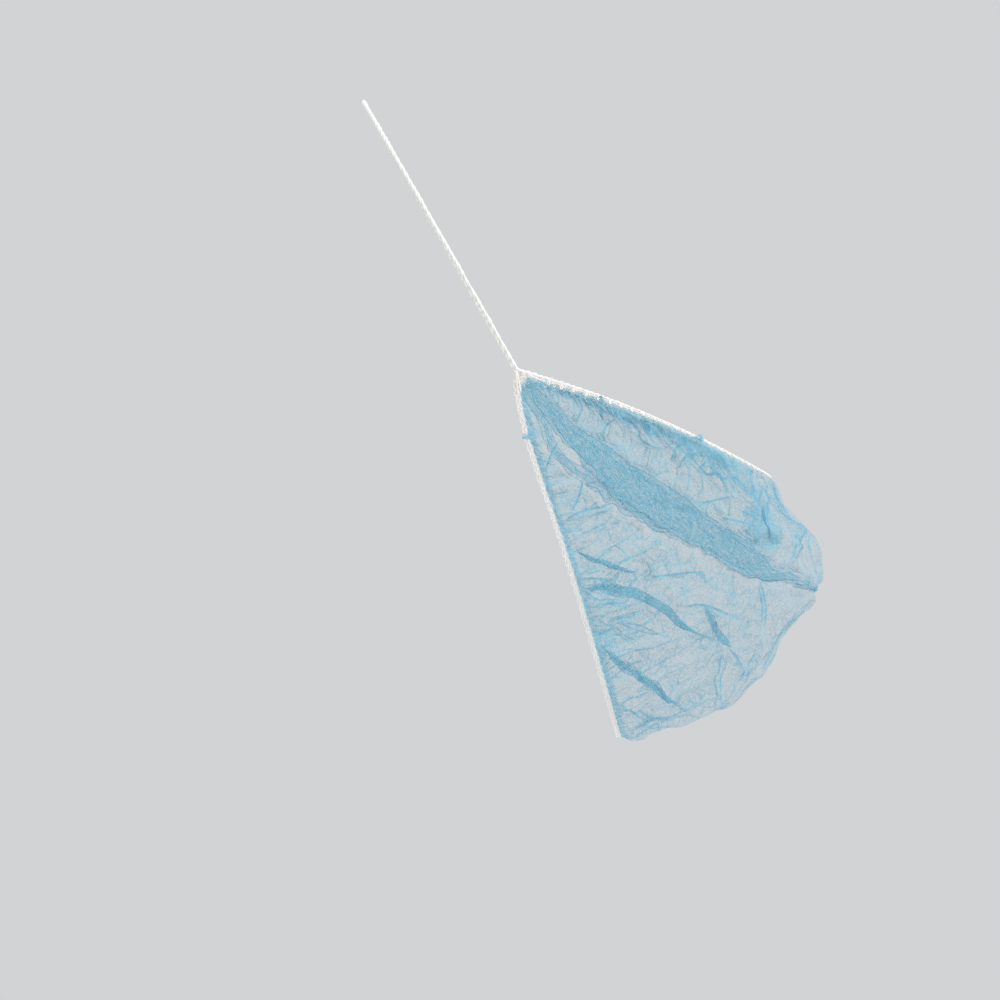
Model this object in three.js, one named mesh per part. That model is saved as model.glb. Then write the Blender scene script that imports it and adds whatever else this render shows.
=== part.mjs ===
// Beard cover in its worn form: a sheer pleated pouch round the jaw, gathered onto two edge elastics that meet at a
// corner by each ear, and a thin elastic cord over the crown. Millimetres. The wearer faces -Y, +X is the wearer's
// left and +Z is up. The origin is where the cord sits on the crown.
import * as THREE from 'three';
import { mergeVertices } from 'three/addons/utils/BufferGeometryUtils.js';

// ---- driving dimensions ----
const EAR = { across: 73, ahead: 60.8, below: 107 };      // ear corners, from the crown seat
const UPPER_ANGLE = { ear: 13.2, front: 22 };             // degrees below straight ahead, seen from the side
const LOWER_ANGLE = { ear: 90, front: 74.3 };
const CLOTH_START = 0.045;                                // radians round the hoop where the cloth begins
const WALL = 1.0;
const BUNCHED_WALL = 1.6;                                 // extra thickness where the cloth is bunched at the ears
const ELASTIC_RADIUS = 0.8;
const CORD_RADIUS = 0.9;
const GAP = 0.3;
const BUNCHED_GAP = 0.35;                                 // more room beside the bunched cloth
const CORNER_ROOM = 0.3;                                  // how near the corner each elastic ends
const CORD_END_ROOM = 1.2;
const HEAD_HALF_WIDTH = 79;
const HEAD_SQUARENESS = 2.25;                             // 2 is an ellipse

// How far the cloth reaches from the line between the ears, row by row from the upper to the lower edge.
const REACH = [
  { row: 0.00, reach: 106 },
  { row: 0.05, reach: 114 },
  { row: 0.10, reach: 125 },
  { row: 0.16, reach: 136 },
  { row: 0.23, reach: 142.5 },
  { row: 0.44, reach: 147.5 },
  { row: 0.58, reach: 152 },
  { row: 0.78, reach: 151.5 },
  { row: 1.00, reach: 146.5 },
];

// The flattened pleat that is left open from ear to ear: its top line and its width along the hoop.
const PLEAT = { earAngle: 29, angle: 36.6, earWidth: 9, width: 14, frontWidth: 5, lift: 2.6 };

// The main folds on each cheek, as the side view shows them: ahead of and below the ear corner.
const FOLDS = [
  { name: 'lower fold', ahead: [25, 52, 72], below: [80, 86, 101], width: 5, lift: 2.2 },
  { name: 'jaw fold', ahead: [22, 40, 66], below: [67, 74, 77], width: 4, lift: 1.6 },
  { name: 'chin fold', ahead: [72, 79, 86], below: [90, 103, 117], width: 4, lift: 1.8 },
  { name: 'throat fold', ahead: [32, 46, 64], below: [107, 116, 131], width: 5, lift: 2.0 },
  { name: 'lip fold', ahead: [90, 92, 96], below: [40, 52, 62], width: 4, lift: 1.6 },
];
const GATHER = { count: 44, height: 1.2, peak: 7 };       // ripples that swell just inside both edges

// ---- mesh resolution ----
const STEPS_ROUND = 68;
const STEPS_DOWN = 30;
const ELASTIC_STEPS = 46;
const CORD_STEPS = 56;
const TUBE_SIDES = 8;
const PACKING = 0.06;                                     // evens out the steps round a hoop
const HALVINGS = 24;
const NUDGE = 1e-3;                                       // step for slopes, as a share of the cloth

const { clamp, lerp, degToRad, smoothstep } = THREE.MathUtils;

// ---- the cloth's smooth form: hoops from ear to ear, each in a plane through both ear corners ----
const reachCurve = new THREE.CatmullRomCurve3(REACH.map(({ row, reach }) => new THREE.Vector3(row, reach, 0)));

// The curve runs evenly in neither row nor reach, so the place on it for a row is found by halving.
function reachAt(row) {
  let low = 0;
  let high = 1;
  for (let i = 0; i < HALVINGS; i++) {
    const middle = (low + high) / 2;
    if (reachCurve.getPoint(middle).x < row) low = middle;
    else high = middle;
  }
  return reachCurve.getPoint(low).y;
}

function edgeAngles(out) {
  const upper = lerp(UPPER_ANGLE.ear, UPPER_ANGLE.front, out ** 0.8);
  const lower = lerp(LOWER_ANGLE.front, LOWER_ANGLE.ear, (1 - out) ** 5);
  return { upper: degToRad(upper), lower: degToRad(lower) };
}

// turn runs from 0 at the right ear corner to PI at the left one.
function onHoop(turn, reach, angle) {
  const out = Math.sin(turn) * reach;
  return new THREE.Vector3(
    -EAR.across * Math.cos(turn),
    -EAR.ahead - out * Math.cos(angle),
    -EAR.below - out * Math.sin(angle),
  );
}

function clothPoint(turn, row) {
  const { upper, lower } = edgeAngles(Math.sin(turn));
  return onHoop(turn, reachAt(row), lerp(upper, lower, row));
}

// ---- folds ----
function distanceToFold(fold, ahead, below) {
  let nearest = Infinity;
  for (let i = 0; i < fold.ahead.length - 1; i++) {
    const alongX = fold.ahead[i + 1] - fold.ahead[i];
    const alongY = fold.below[i + 1] - fold.below[i];
    const share = ((ahead - fold.ahead[i]) * alongX + (below - fold.below[i]) * alongY) / (alongX ** 2 + alongY ** 2);
    const held = clamp(share, 0, 1);
    const gap = Math.hypot(ahead - fold.ahead[i] - held * alongX, below - fold.below[i] - held * alongY);
    nearest = Math.min(nearest, gap);
  }
  return nearest;
}

function pleatLift(out, ahead, below) {
  const fromEar = Math.hypot(ahead, below);
  const top = degToRad(lerp(PLEAT.earAngle, PLEAT.angle, smoothstep(fromEar, 0, 35)));
  const narrowing = smoothstep(out, 0.6, 1);
  const width = lerp(lerp(PLEAT.earWidth, PLEAT.width, smoothstep(fromEar, 5, 35)), PLEAT.frontWidth, narrowing);
  const down = fromEar * (Math.atan2(below, ahead) - top);
  return PLEAT.lift * smoothstep(down, -2.5, 1) * (1 - smoothstep(down, width - 1, width + 2.5));
}

function gatherLift(turn, row, fromEar) {
  const { upper, lower } = edgeAngles(Math.sin(turn));
  const span = fromEar * (lower - upper);
  const swell = (distance) => (distance / GATHER.peak) * Math.exp(1 - distance / GATHER.peak);
  const share = swell(row * span) + swell((1 - row) * span);
  return GATHER.height * share * Math.sin(GATHER.count * turn) * smoothstep(fromEar, 8, 30);
}

function lifts(turn, row, point) {
  const ahead = -EAR.ahead - point.y;
  const below = -EAR.below - point.z;
  let ridge = gatherLift(turn, row, Math.hypot(ahead, below));
  for (const fold of FOLDS) {
    ridge += fold.lift * Math.exp(-((distanceToFold(fold, ahead, below) / fold.width) ** 2));
  }
  return { pleat: pleatLift(Math.sin(turn), ahead, below), ridge };
}

// ---- pouch ----
function clothAxes(turn, row) {
  const round = clothPoint(turn + NUDGE, row).sub(clothPoint(turn - NUDGE, row)).normalize();
  const slope = clothPoint(turn, Math.min(row + NUDGE, 1)).sub(clothPoint(turn, Math.max(row - NUDGE, 0)));
  const normal = slope.cross(round).normalize();
  const down = round.clone().cross(normal);
  return { normal, down };
}

// Steps round a hoop, from one end to the other, that come out about equal in length.
function turnAt(share, start) {
  const even = share - PACKING * Math.sin(2 * Math.PI * share);
  return lerp(start, Math.PI - start, even);
}

function pouchGeometry() {
  const across = STEPS_DOWN + 1;
  const outer = [];
  const inner = [];
  for (let i = 0; i <= STEPS_ROUND; i++) {
    const turn = turnAt(i / STEPS_ROUND, CLOTH_START);
    for (let j = 0; j <= STEPS_DOWN; j++) {
      const row = j / STEPS_DOWN;
      const point = clothPoint(turn, row);
      const { normal } = clothAxes(turn, row);
      const { pleat, ridge } = lifts(turn, row, point);
      const bunched = BUNCHED_WALL * Math.exp(-((Math.sin(turn) / 0.07) ** 2));
      outer.push(point.clone().addScaledVector(normal, ridge + pleat + bunched / 2));
      inner.push(point.clone().addScaledVector(normal, ridge - WALL - bunched / 2));
    }
  }
  const position = [...outer, ...inner].flatMap((point) => point.toArray());
  const index = [];
  const quad = (a, b, c, d) => index.push(a, b, c, a, c, d);
  const at = (i, j) => i * across + j;
  const under = (i, j) => outer.length + at(i, j);
  for (let i = 0; i < STEPS_ROUND; i++) {
    for (let j = 0; j < STEPS_DOWN; j++) {
      quad(at(i, j), at(i, j + 1), at(i + 1, j + 1), at(i + 1, j));
      quad(under(i, j), under(i + 1, j), under(i + 1, j + 1), under(i, j + 1));
    }
    quad(at(i, 0), at(i + 1, 0), under(i + 1, 0), under(i, 0));
    quad(at(i + 1, STEPS_DOWN), at(i, STEPS_DOWN), under(i, STEPS_DOWN), under(i + 1, STEPS_DOWN));
  }
  for (let j = 0; j < STEPS_DOWN; j++) {
    quad(at(0, j + 1), at(0, j), under(0, j), under(0, j + 1));
    quad(at(STEPS_ROUND, j), at(STEPS_ROUND, j + 1), under(STEPS_ROUND, j + 1), under(STEPS_ROUND, j));
  }
  const geometry = new THREE.BufferGeometry();
  geometry.setAttribute('position', new THREE.Float32BufferAttribute(position, 3));
  geometry.setIndex(index);
  geometry.computeVertexNormals();
  return geometry;
}

// ---- elastics and cord ----
function tube(points, radius, steps) {
  const section = new THREE.Shape();
  for (let i = 0; i < TUBE_SIDES; i++) {
    const angle = (2 * Math.PI * i) / TUBE_SIDES;
    const corner = [radius * Math.cos(angle), radius * Math.sin(angle)];
    if (i === 0) section.moveTo(...corner);
    else section.lineTo(...corner);
  }
  section.closePath();
  const extrudePath = new THREE.CatmullRomCurve3(points);
  const geometry = new THREE.ExtrudeGeometry(section, { steps, extrudePath, curveSegments: 1 });
  geometry.deleteAttribute('normal');
  geometry.deleteAttribute('uv');
  const merged = mergeVertices(geometry, 1e-3);
  merged.computeVertexNormals();
  return merged;
}

// An elastic runs just outside the cloth's edge: side is -1 along the upper edge and +1 along the lower edge.
function edgeRoute(row, side) {
  const points = [];
  const away = ELASTIC_RADIUS + GAP;
  const reach = reachAt(row);
  for (let i = 0; i <= ELASTIC_STEPS; i++) {
    const turn = turnAt(i / ELASTIC_STEPS, CORNER_ROOM / reach);
    const fromEar = reach * Math.sin(turn);
    const bunched = BUNCHED_GAP * Math.exp(-((fromEar / 10) ** 2));
    points.push(clothPoint(turn, row).addScaledVector(clothAxes(turn, row).down, side * (away + bunched)));
  }
  return points;
}

// The head's slanted section: from ear corner to ear corner through the crown seat, which the cord rests on.
function cordRoute() {
  const rise = Math.hypot(EAR.ahead, EAR.below);
  const up = new THREE.Vector3(0, EAR.ahead / rise, EAR.below / rise);
  const points = [];
  for (let i = 0; i <= CORD_STEPS; i++) {
    const turn = (Math.PI * i) / CORD_STEPS;
    const height = Math.sin(turn) ** (2 / HEAD_SQUARENESS);
    const round = Math.sign(Math.cos(turn)) * Math.abs(Math.cos(turn)) ** (2 / HEAD_SQUARENESS);
    const halfWidth = lerp(EAR.across, HEAD_HALF_WIDTH, smoothstep(height, 0, 0.5));
    const point = new THREE.Vector3(-round * halfWidth, -EAR.ahead, -EAR.below);
    points.push(point.addScaledVector(up, lerp(CORD_END_ROOM, rise + CORD_RADIUS, height)));
  }
  return points;
}

// ---- assembly ----
const clothFinish = { color: 0x87d0e8, roughness: 0.85, metalness: 0, side: THREE.DoubleSide };
const elasticFinish = { color: 0xf2f1ea, roughness: 0.7, metalness: 0 };

function piece(name, geometry, finish) {
  const mesh = new THREE.Mesh(geometry, new THREE.MeshStandardMaterial(finish));
  mesh.name = name;
  return mesh;
}

const group = new THREE.Group();
group.add(piece('pouch', pouchGeometry(), clothFinish));
group.add(piece('upper_edge_elastic', tube(edgeRoute(0, -1), ELASTIC_RADIUS, ELASTIC_STEPS), elasticFinish));
group.add(piece('lower_edge_elastic', tube(edgeRoute(1, 1), ELASTIC_RADIUS, ELASTIC_STEPS), elasticFinish));
group.add(piece('head_loop', tube(cordRoute(), CORD_RADIUS, CORD_STEPS), elasticFinish));

export default group;
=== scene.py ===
import math
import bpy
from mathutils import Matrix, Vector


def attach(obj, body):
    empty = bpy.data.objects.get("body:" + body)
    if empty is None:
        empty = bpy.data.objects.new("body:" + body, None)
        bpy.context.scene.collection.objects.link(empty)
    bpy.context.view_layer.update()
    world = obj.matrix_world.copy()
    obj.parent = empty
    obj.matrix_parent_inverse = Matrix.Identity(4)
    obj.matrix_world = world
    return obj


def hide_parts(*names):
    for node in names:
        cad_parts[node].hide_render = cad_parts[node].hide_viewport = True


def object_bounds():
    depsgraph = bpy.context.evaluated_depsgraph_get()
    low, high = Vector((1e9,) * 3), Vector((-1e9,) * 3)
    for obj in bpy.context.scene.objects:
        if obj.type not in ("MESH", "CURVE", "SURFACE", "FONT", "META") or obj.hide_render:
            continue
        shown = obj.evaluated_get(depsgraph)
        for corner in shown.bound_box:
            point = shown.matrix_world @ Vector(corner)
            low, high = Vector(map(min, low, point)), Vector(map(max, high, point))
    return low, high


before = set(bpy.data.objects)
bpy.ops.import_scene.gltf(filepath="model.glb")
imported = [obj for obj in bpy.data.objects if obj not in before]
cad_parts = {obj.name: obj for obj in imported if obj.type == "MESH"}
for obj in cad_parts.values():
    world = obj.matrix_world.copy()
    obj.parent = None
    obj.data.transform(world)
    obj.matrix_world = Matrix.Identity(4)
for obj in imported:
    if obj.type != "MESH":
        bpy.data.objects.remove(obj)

from types import SimpleNamespace

import bpy
import numpy as np
from mathutils import Vector

cad_low, cad_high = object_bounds()
MM = 0.001

# ---- the worn form, as the CAD model has it (metres, degrees) ----
EAR_ACROSS, EAR_AHEAD, EAR_BELOW = 0.073, 0.0608, 0.107
UPPER_ANGLE = {"ear": 13.2, "front": 22.0}
LOWER_ANGLE = {"ear": 90.0, "front": 74.3}
CLOTH_START = 0.022
PACKING = 0.06
CORD_RADIUS = 0.9 * MM
CORD_END_ROOM = 1.2 * MM
HEAD_HALF_WIDTH = 0.079
HEAD_SQUARENESS = 2.25
CORD_STEPS = 56
REACH = {
    "row": [0.00, 0.05, 0.10, 0.16, 0.23, 0.44, 0.58, 0.78, 1.00],
    "reach": [0.106, 0.114, 0.125, 0.136, 0.1425, 0.1475, 0.152, 0.1515, 0.1465],
}

# The open pleat and the narrow strip below it, by distance from the ear corner (millimetres).
PLEAT = {
    "from_ear": [0, 8, 18, 28, 34, 42, 50, 60, 72, 92, 108, 116, 124, 132, 144],
    "top_angle": [34, 37.3, 41, 42.5, 41.3, 39.7, 39, 37.4, 36.8, 36.3, 36.2, 36.3, 37, 36, 34.9],
    "width": [2.5, 4, 5, 6.3, 7.8, 10.2, 12.6, 14, 14, 12.5, 11.5, 10, 4.5, 2.2, 1.4],
    "gap": [0.2, 0.3, 0.8, 3.2, 4, 1.9, 0.6, 0.3, 0.3, 0.3, 0.3, 0.3, 0.3, 0.3, 0.3],
    "strip": [1.2, 1.8, 2.4, 2.7, 2.9, 4, 3.2, 2.4, 2, 0.8, 0.5, 0.4, 0.3, 0.3, 0.3],
}

PLEAT_REACH = 0.1435
# How far the folded layers stand off the smooth form (millimetres).
PLEAT_LIFT = {"front": 1.2, "top": 0.6, "between": 0.35, "strip": 0.8, "strip_top": 0.3}

# Folds where the cloth lies over itself: line (millimetres ahead of and below the ear corner), width and
# lift. In order they are the lower fold, the jaw fold, the chin fold, the throat fold and the lip fold.
TUCKS = [
    ([(20, 80), (26, 81.5), (38, 82.5), (48, 85.5), (56, 90), (62, 95.5), (72, 101)], 3.8, 1.8),
    ([(20, 66), (24, 68.5), (34, 73), (40, 75), (48, 77)], 2.0, 1.2),
    ([(70.5, 88), (73.5, 94), (76.5, 99.5), (81, 105)], 2.8, 1.4),
    ([(29, 103), (36, 109), (44.5, 115.5), (55, 122), (63, 128.5)], 3.4, 1.7),
    ([(91, 40), (93, 50), (95, 58), (98, 66)], 3.2, 1.5),
]

# A tuck pulls the cloth across its line by this many times the distance from it, fading out with that
# distance. The cloth then turns back at turning_share of the fading distance, and the fold is width_share of
# it wide.
TUCK = {"pull": 2.4, "turning_share": 0.480, "width_share": 0.86}

# Sharp single creases: line as above, height of the ridge (millimetres).
RIDGES = [
    ([(45.5, 18), (46, 24.7), (53, 28.2), (59, 27.4)], 0.9),
    ([(58, 34), (60.7, 27.4), (66, 26.8)], 0.8),
    ([(60, 36.5), (65.5, 29.6), (71, 32.4)], 0.8),
    ([(67, 37), (77, 38.7), (86, 41)], 0.9),
    ([(67.5, 38), (72, 33), (78, 27)], 0.8),
    ([(67, 49), (74, 48.5), (83, 46)], 0.8),
    ([(86, 30), (88, 38), (90, 46), (92.3, 57)], 1.2),
    ([(76.8, 55), (85.5, 56.5), (92, 60)], 0.8),
    ([(88, 65), (93.3, 61.5), (98, 58)], 0.8),
    ([(106.4, 55), (106.2, 63.8), (105.3, 69.4), (102.5, 75)], 0.9),
    ([(22.3, 9.5), (23.7, 13.2), (21.8, 16.7), (22.5, 19)], 0.6),
    ([(30.8, 11), (31.4, 16), (32, 20)], 0.6),
    ([(37, 17), (33, 19), (32, 22), (30.5, 25)], 0.7),
    ([(39, 15), (44.5, 20.6), (45.2, 25)], 0.7),
    ([(9.5, 37), (12.7, 29), (16, 24)], 0.5),
    ([(17, 56.5), (21.2, 53.4), (29, 51.2), (37, 49)], 0.8),
    ([(24.2, 40), (22.5, 48), (18, 56.5)], 0.7),
    ([(46, 78), (56, 77.3), (69, 75.7), (71.5, 79.6), (78.5, 75.5)], 1.0),
    ([(63, 89.3), (70, 88.3), (85, 93.5)], 0.8),
    ([(80, 104), (83, 109), (86.3, 113), (85.5, 116.5), (83, 121.5)], 0.8),
    ([(92.5, 79), (93.5, 90), (92, 101)], 0.9),
    ([(78.5, 107), (76, 119), (76.5, 131)], 0.8),
    ([(26, 89), (35, 88.5), (44, 89.5)], 0.6),
    ([(32, 95.5), (42, 92.5), (51, 89.5)], 0.6),
    ([(36, 95), (48.5, 98), (58, 102.5)], 0.8),
    ([(29, 93), (38, 99), (47.5, 105)], 1.0),
    ([(31, 121), (40, 128), (49, 131.5), (62, 131)], 1.0),
    ([(60, 94), (70, 100), (79, 103.5)], 0.8),
    ([(44, 114), (52, 121), (60, 126), (68, 133)], 0.8),
    ([(22, 83), (32, 86.5), (44, 87)], 0.6),
    ([(19, 79), (28, 78), (38, 79.5)], 0.6),
    ([(48, 77.5), (51, 75), (49, 72.5)], 0.6),
    ([(100, 112), (106, 102), (114, 93)], 0.8),
]

# The left cheek is folded as the right one is. Its lines are scaled about the ear corner and shifted
# (millimetres), so that the folds of both cheeks lie behind one another in the side view.
FAR_CHEEK = {"scale": 1.025, "shift": [0.2, -1.2]}

# Soft crushed patches: middle (millimetres ahead of and below the ear corner), half width, half length, slope
# of the length in degrees, and how many layers they add.
BUNCHES = [
    (94, 59, 6, 11, 75, 6.5),
    (87, 65, 3, 8, 160, 1.6),
    (33, 104, 4.5, 7, 45, 2.6),
    (14, 31, 3.5, 8, 60, 1.2),
]

# Small tufts of cloth that poke past an edge of the right cheek: the edge, how far ahead of (upper) or
# below (lower) the ear corner they are, half width, how far they are pushed (millimetres), and the push's
# direction.
TUFTS = [
    ("lower", 22.5, 1.6, 3.4, (-0.3, 0.8, -0.5)),
    ("upper", 31.0, 0.9, 2.2, (-0.6, -0.3, 0.8)),
    ("upper", 69.5, 1.5, 3.2, (-0.6, -0.3, 0.8)),
]

# How many random creases start at each edge, at the ears and in the middle.
CREASES = {"upper": 44, "lower": 44, "ear": 18, "middle": 16}
# The small waves square to each edge: wave length at the edge, how many sizes of wave, and how steep they
# are.
GATHERS = {"upper": (3.4 * MM, 3, 0.12), "lower": (3.4 * MM, 3, 0.10)}
# How strongly the lines where the pleat turns back show, of 1.
PLEAT_LINE = 0.6
# The extra layers of cloth in each kind of place.
LAYERS = {"upper strip": 10, "lower strip": 4.5, "tuft": 6, "tuck": 0.5, "pleat front": 0.7, "pleat": -0.5}
LOWER_STRIP = 2.2 * MM

# The web's streaks: direction in degrees, width and length (millimetres).
WEB_STREAKS = ((8, 0.23, 2.6), (47, 0.21, 2.2), (91, 0.23, 2.2), (139, 0.21, 2.6))
# Fine random lines in the web: patch size and line width (millimetres), and strength.
FINE_CREASES = ((9, 0.20, 0.55), (4, 0.16, 0.30))
# The line along a crease, and the strip of cloth laid over beside it (millimetres).
CREASE_LINE, LAID_OVER = 0.30, 1.4
BLUE = {"deep": (0.15, 0.45, 0.61, 1), "light": (0.21, 0.54, 0.69, 1)}
YARN = (0.95, 0.945, 0.92, 1)

CORNER_THREAD = 0.34 * MM
EDGE_STEPS = 220

# ---- mesh resolution ----
COLUMNS = 432
# Rows down to the pleat's bottom, back up to its top, down to the strip's bottom, back up, and down to the
# edge.
SEGMENT_ROWS = [60, 20, 28, 8, 92]
# The cloth settles on every fourth row and column first, then on every second, then on all of them.
LEVELS = [
    {"stride": 4, "spare": 0.030, "rounds": 120, "bend": 0.5},
    {"stride": 2, "spare": 0.015, "rounds": 80, "bend": 0.5},
    {"stride": 1, "spare": 0.006, "rounds": 40, "bend": 0.5},
]
STAND_OFF = {"inward": 1.6 * MM, "outward": 3.6 * MM, "sideways": 3.0 * MM}
# The cloth hangs this far inside the CAD form, so that its ridges and not its hollows reach that form.
SETTLED_IN = 2.2 * MM


def smoothstep(x, low, high):
    share = np.clip((x - low) / (high - low), 0, 1)
    return share * share * (3 - 2 * share)


def lerp(a, b, share):
    return a + (b - a) * share


def unit(v):
    return v / np.maximum(np.linalg.norm(v, axis=-1, keepdims=True), 1e-12)


def bell(x, width):
    return np.exp(-((x / width) ** 2))


def curve(a, b, c, d, s):
    """A smooth curve from b to c, for s from 0 to 1, with a before them and d after them."""
    return 0.5 * (2 * b + (c - a) * s + (2 * a - 5 * b + 4 * c - d) * s**2 + (3 * b - a - 3 * c + d) * s**3)


def steps_of(points):
    return np.linalg.norm(np.diff(points, axis=0), axis=-1)


def summed(steps):
    return np.concatenate([[0], np.cumsum(steps)])


def from_table(x, xs, ys):
    """A smooth curve through the rows of a table."""
    xs, ys = np.asarray(xs, float), np.asarray(ys, float)
    slope = np.gradient(ys, xs)
    k = np.clip(np.searchsorted(xs, x, side="right") - 1, 0, len(xs) - 2)
    width = xs[k + 1] - xs[k]
    s = np.clip((x - xs[k]) / width, 0, 1)
    return (
        (1 + 2 * s) * (1 - s) ** 2 * ys[k]
        + s * (1 - s) ** 2 * width * slope[k]
        + s * s * (3 - 2 * s) * ys[k + 1]
        + s * s * (s - 1) * width * slope[k + 1]
    )


# ---- camera ----
def make_camera():
    """The camera looks square at the wearer's right side, from far off, as the photograph does."""
    size = cad_high - cad_low
    centre = (cad_high + cad_low) / 2 + Vector((0, 0.2 * size.y, -0.126 * size.z))
    distance = 6.0
    width_seen = 1.565 * size.z
    data = bpy.data.cameras.new("camera")
    data.sensor_width = 36
    data.lens = data.sensor_width * distance / width_seen
    data.clip_end = 60
    camera = bpy.data.objects.new("camera", data)
    bpy.context.scene.collection.objects.link(camera)
    camera.location = centre - Vector((distance, 0, 0))
    camera.rotation_euler = (math.pi / 2, 0, -math.pi / 2)
    bpy.context.scene.camera = camera


make_camera()


# ---- meshes from arrays ----
def make_object(name, vertices, quads, material):
    mesh = bpy.data.meshes.new(name)
    mesh.vertices.add(len(vertices))
    mesh.vertices.foreach_set("co", np.asarray(vertices, np.float32).ravel())
    mesh.loops.add(4 * len(quads))
    mesh.loops.foreach_set("vertex_index", np.asarray(quads, np.int32).ravel())
    mesh.polygons.add(len(quads))
    mesh.polygons.foreach_set("loop_start", np.arange(0, 4 * len(quads), 4, dtype=np.int32))
    mesh.polygons.foreach_set("use_smooth", np.ones(len(quads), bool))
    mesh.materials.append(material)
    mesh.update()
    mesh.validate()
    made = bpy.data.objects.new(name, mesh)
    bpy.context.scene.collection.objects.link(made)
    return made


def carried_frames(points):
    """Tangent and two sideways directions at each point of a route, turning as little as they can."""
    tangent = unit(np.gradient(points, axis=0))
    side = np.zeros_like(points)
    start = np.cross(tangent[0], [0.31, 0.57, 0.76])
    side[0] = start / np.linalg.norm(start)
    for i in range(1, len(points)):
        kept = side[i - 1] - tangent[i] * np.dot(side[i - 1], tangent[i])
        side[i] = kept / np.linalg.norm(kept)
    return tangent, side, np.cross(tangent, side)


def swept(points, radius, sides):
    """A round strand along a route, closed at both ends with a small point."""
    tangent, side, other = carried_frames(points)
    radius = np.broadcast_to(np.asarray(radius, float), (len(points),))
    turn = np.arange(sides) * 2 * math.pi / sides
    around = side[:, None] * np.cos(turn)[None, :, None] + other[:, None] * np.sin(turn)[None, :, None]
    rings = points[:, None] + around * radius[:, None, None]
    first = points[0] - tangent[0] * radius[0] * 0.6
    last = points[-1] + tangent[-1] * radius[-1] * 0.6
    rings = np.concatenate([
        first + around[:1] * radius[0] * 0.05,
        rings,
        last + around[-1:] * radius[-1] * 0.05,
    ])
    count = len(rings)
    index = np.arange(count * sides).reshape(count, sides)
    after = np.roll(index, -1, axis=1)
    quads = np.stack([index[:-1], after[:-1], after[1:], index[1:]], axis=-1).reshape(-1, 4)
    return rings.reshape(-1, 3), quads


def joined(parts):
    vertices, quads, base = [], [], 0
    for v, q in parts:
        vertices.append(v)
        quads.append(q + base)
        base += len(v)
    return np.concatenate(vertices), np.concatenate(quads)


def along(points, spacing):
    """The same route with points at an even spacing."""
    distance = summed(steps_of(points))
    at = np.linspace(0, distance[-1], max(2, int(round(distance[-1] / spacing)) + 1))
    return np.stack([np.interp(at, distance, points[:, k]) for k in range(3)], axis=1), at


def wander(count, knots, rng):
    """A smooth random line from -1 to 1 with a given number of knots."""
    values = rng.uniform(-1, 1, knots + 3)
    x = np.linspace(0, knots, count)
    k = np.minimum(x.astype(int), knots - 1)
    s = x - k
    return curve(values[k], values[k + 1], values[k + 2], values[k + 3], s)


def declare(piece, node):
    """The piece moves with the root body and is seen in place of a CAD node."""
    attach(piece, "root")
    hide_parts(node)


# ---- the cloth's smooth form ----
def edge_angles(out):
    upper = lerp(UPPER_ANGLE["ear"], UPPER_ANGLE["front"], out**0.8)
    lower = lerp(LOWER_ANGLE["front"], LOWER_ANGLE["ear"], (1 - out) ** 5)
    return np.radians(upper), np.radians(lower)


def on_hoop(turn, reach, angle):
    out = np.sin(turn) * reach
    x = -EAR_ACROSS * np.cos(turn) + 0 * angle
    return np.stack([x, -EAR_AHEAD - out * np.cos(angle), -EAR_BELOW - out * np.sin(angle)], axis=-1)


def cloth_point(turn, row):
    upper, lower = edge_angles(np.sin(turn))
    reach = from_table(row, REACH["row"], REACH["reach"])
    return on_hoop(turn, reach, lerp(upper, lower, row))


def cloth_axes(turn, row):
    """Round the hoop, out of the cloth and down the cloth."""
    nudge = 1e-3
    around = unit(cloth_point(turn + nudge, row) - cloth_point(turn - nudge, row))
    slope = cloth_point(turn, np.minimum(row + nudge, 1)) - cloth_point(turn, np.maximum(row - nudge, 0))
    out = unit(np.cross(slope, around))
    return around, out, np.cross(around, out)


def turn_at(share, start):
    return lerp(start, math.pi - start, share - PACKING * np.sin(2 * math.pi * share))


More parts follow.
